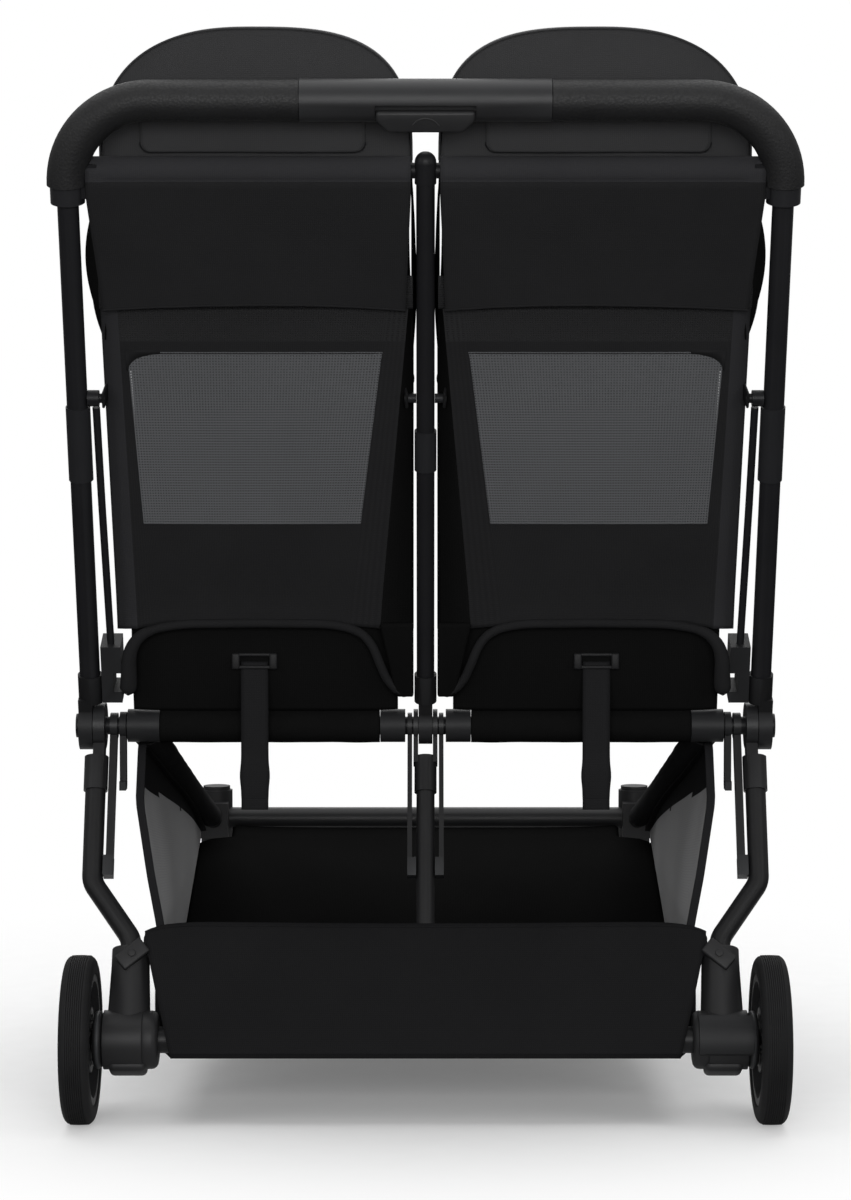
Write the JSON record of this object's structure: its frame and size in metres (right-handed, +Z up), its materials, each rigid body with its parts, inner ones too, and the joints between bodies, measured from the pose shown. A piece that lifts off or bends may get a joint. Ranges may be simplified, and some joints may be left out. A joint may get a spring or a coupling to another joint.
{
  "type": "side by side double stroller",
  "caption": "Folding side by side twin pushchair with two reclining fabric seats, extending canopies, one wide handlebar, swivel front wheels and a shared under-seat basket.",
  "frame": {"origin": "on the floor under the middle of the bounding box", "axes": "+Y is forward, +X is the right of someone who pushes it, +Z is up"},
  "size_m": [0.7652, 0.9236, 1.1437],
  "materials": {
    "fabric": "woven polyester",
    "frame": "satin powder coat",
    "plastic": "fine grain",
    "tyre": "matt foam rubber",
    "steel": "plain",
    "grip": "grained"
  },
  "bodies": {
    "front_frame": {"main_axle": "frame", "seat_knuckles": "plastic", "axle_sleeves": "fabric", "front_legs": "frame", "front_crossbar": "frame", "caster_housings": "plastic", "seat_frames": "frame", "seat_cushion_left": "fabric", "seat_cushion_right": "fabric", "lap_harnesses": "fabric", "buckles": "plastic", "recline_straps": "fabric", "basket": "fabric"},
    "fold_latches": {"fold_latches": "plastic"},
    "rear_frame": {"rear_legs": "frame", "center_leg": "frame", "leg_braces": "frame", "rear_crossbar": "frame", "axle_tube": "frame", "leg_shoe_left": "plastic", "leg_shoe_right": "plastic"},
    "handle_frame": {"handle_posts": "frame", "center_post": "frame", "handle_hubs": "plastic", "post_splices": "plastic", "side_brackets": "plastic", "seat_rails": "frame", "top_bar": "frame", "back_flaps": "fabric", "handlebar_core": "frame", "grips": "grip", "handlebar_housing": "plastic", "canopy_rear_left": "fabric", "canopy_rear_right": "fabric", "peek_flaps": "fabric"},
    "fold_trigger": {"fold_trigger": "plastic"},
    "brake_pedal": {"brake_pedal": "plastic"},
    "leg_rest_left": {"leg_rest_left": "fabric"},
    "buckle_button_left": {"buckle_button_left": "plastic"},
    "caster_left": {"caster_fork_left": "plastic"},
    "front_wheel_left": {"front_tyre_left": "tyre", "front_rim_left": "plastic"},
    "rear_wheel_left": {"rear_tyre_left": "tyre", "rear_rim_left": "plastic"},
    "brake_pin_left": {"brake_pin_left": "steel"},
    "canopy_left": {"canopy_hood_left": "fabric"},
    "seat_back_left": {"seat_back_left": "fabric", "shoulder_harness_left": "fabric"},
    "leg_rest_right": {"leg_rest_right": "fabric"},
    "buckle_button_right": {"buckle_button_right": "plastic"},
    "caster_right": {"caster_fork_right": "plastic"},
    "front_wheel_right": {"front_tyre_right": "tyre", "front_rim_right": "plastic"},
    "rear_wheel_right": {"rear_tyre_right": "tyre", "rear_rim_right": "plastic"},
    "brake_pin_right": {"brake_pin_right": "steel"},
    "canopy_right": {"canopy_hood_right": "fabric"},
    "seat_back_right": {"seat_back_right": "fabric", "shoulder_harness_right": "fabric"}
  },
  "joints": [
    {"name": "handle_fold", "type": "hinge", "parent": "front_frame", "child": "handle_frame", "pos_m": [0, -0.19, 0.406], "axis": [-1, 0, 0], "range_deg": [0, 90], "deforming": ["canopy_rear_left", "canopy_rear_right", "canopy_hood_left", "canopy_hood_right", "seat_cushion_left", "seat_cushion_right", "seat_back_left", "seat_back_right", "shoulder_harness_left", "shoulder_harness_right", "basket"]},
    {"name": "rear_fold", "type": "hinge", "parent": "front_frame", "child": "rear_frame", "pos_m": [0, -0.19, 0.406], "axis": [1, 0, 0], "range_deg": [0, 47.6]},
    {"name": "fold_trigger", "type": "slide", "parent": "handle_frame", "child": "fold_trigger", "axis": [0, -0.3584, 0.9336], "range_m": [0, 0.005], "stiffness_N_per_m": 600},
    {"name": "fold_latches", "type": "hinge", "parent": "front_frame", "child": "fold_latches", "pos_m": [0, -0.19, 0.406], "axis": [1, 0, 0], "range_deg": [0, 15]},
    {"name": "brake", "type": "hinge", "parent": "rear_frame", "child": "brake_pedal", "pos_m": [0.313, -0.33003, 0.08852], "axis": [1, 0, 0], "range_deg": [0, 18]},
    {"name": "recline_left", "type": "hinge", "parent": "handle_frame", "child": "seat_back_left", "pos_m": [-0.177, -0.19, 0.406], "axis": [1, 0, 0], "range_deg": [0, 30]},
    {"name": "leg_rest_left", "type": "hinge", "parent": "front_frame", "child": "leg_rest_left", "pos_m": [-0.1675, 0.15034, 0.44171], "axis": [1, 0, 0], "range_deg": [0, 45]},
    {"name": "canopy_left", "type": "hinge", "parent": "handle_frame", "child": "canopy_left", "pos_m": [-0.177, -0.32618, 0.76076], "axis": [1, 0, 0], "range_deg": [0, 42]},
    {"name": "buckle_left", "type": "slide", "parent": "front_frame", "child": "buckle_button_left", "axis": [0, 0.1392, -0.9903], "range_m": [0, 0.0025], "stiffness_N_per_m": 500},
    {"name": "caster_left", "type": "hinge", "parent": "front_frame", "child": "caster_left", "pos_m": [-0.266, 0.42, 0.2], "axis": [0, 0, 1], "continuous": true},
    {"name": "front_wheel_left", "type": "hinge", "parent": "caster_left", "child": "front_wheel_left", "pos_m": [-0.266, 0.39, 0.072], "axis": [1, 0, 0], "continuous": true},
    {"name": "rear_wheel_left", "type": "hinge", "parent": "rear_frame", "child": "rear_wheel_left", "pos_m": [-0.362, -0.33, 0.0885], "axis": [1, 0, 0], "continuous": true},
    {"name": "brake_pin_left", "type": "slide", "parent": "rear_frame", "child": "brake_pin_left", "axis": [-1, 0, 0], "range_m": [0, 0.0065]},
    {"name": "recline_right", "type": "hinge", "parent": "handle_frame", "child": "seat_back_right", "pos_m": [0.177, -0.19, 0.406], "axis": [1, 0, 0], "range_deg": [0, 30]},
    {"name": "leg_rest_right", "type": "hinge", "parent": "front_frame", "child": "leg_rest_right", "pos_m": [0.1675, 0.15034, 0.44171], "axis": [1, 0, 0], "range_deg": [0, 45]},
    {"name": "canopy_right", "type": "hinge", "parent": "handle_frame", "child": "canopy_right", "pos_m": [0.177, -0.32618, 0.76076], "axis": [1, 0, 0], "range_deg": [0, 42]},
    {"name": "buckle_right", "type": "slide", "parent": "front_frame", "child": "buckle_button_right", "axis": [0, 0.1392, -0.9903], "range_m": [0, 0.0025], "stiffness_N_per_m": 500},
    {"name": "caster_right", "type": "hinge", "parent": "front_frame", "child": "caster_right", "pos_m": [0.266, 0.42, 0.2], "axis": [0, 0, 1], "continuous": true},
    {"name": "front_wheel_right", "type": "hinge", "parent": "caster_right", "child": "front_wheel_right", "pos_m": [0.266, 0.39, 0.072], "axis": [1, 0, 0], "continuous": true},
    {"name": "rear_wheel_right", "type": "hinge", "parent": "rear_frame", "child": "rear_wheel_right", "pos_m": [0.362, -0.33, 0.0885], "axis": [1, 0, 0], "continuous": true},
    {"name": "brake_pin_right", "type": "slide", "parent": "rear_frame", "child": "brake_pin_right", "axis": [1, 0, 0], "range_m": [0, 0.0065]}
  ],
  "couplings": [
    {"joint": "rear_fold", "follows": "handle_fold", "ratio": 0.5288},
    {"joint": "fold_latches", "follows": "fold_trigger", "rad_per_m": 52.35},
    {"joint": "brake_pin_left", "follows": "brake", "m_per_rad": 0.01909},
    {"joint": "brake_pin_right", "follows": "brake", "m_per_rad": 0.01909}
  ]
}
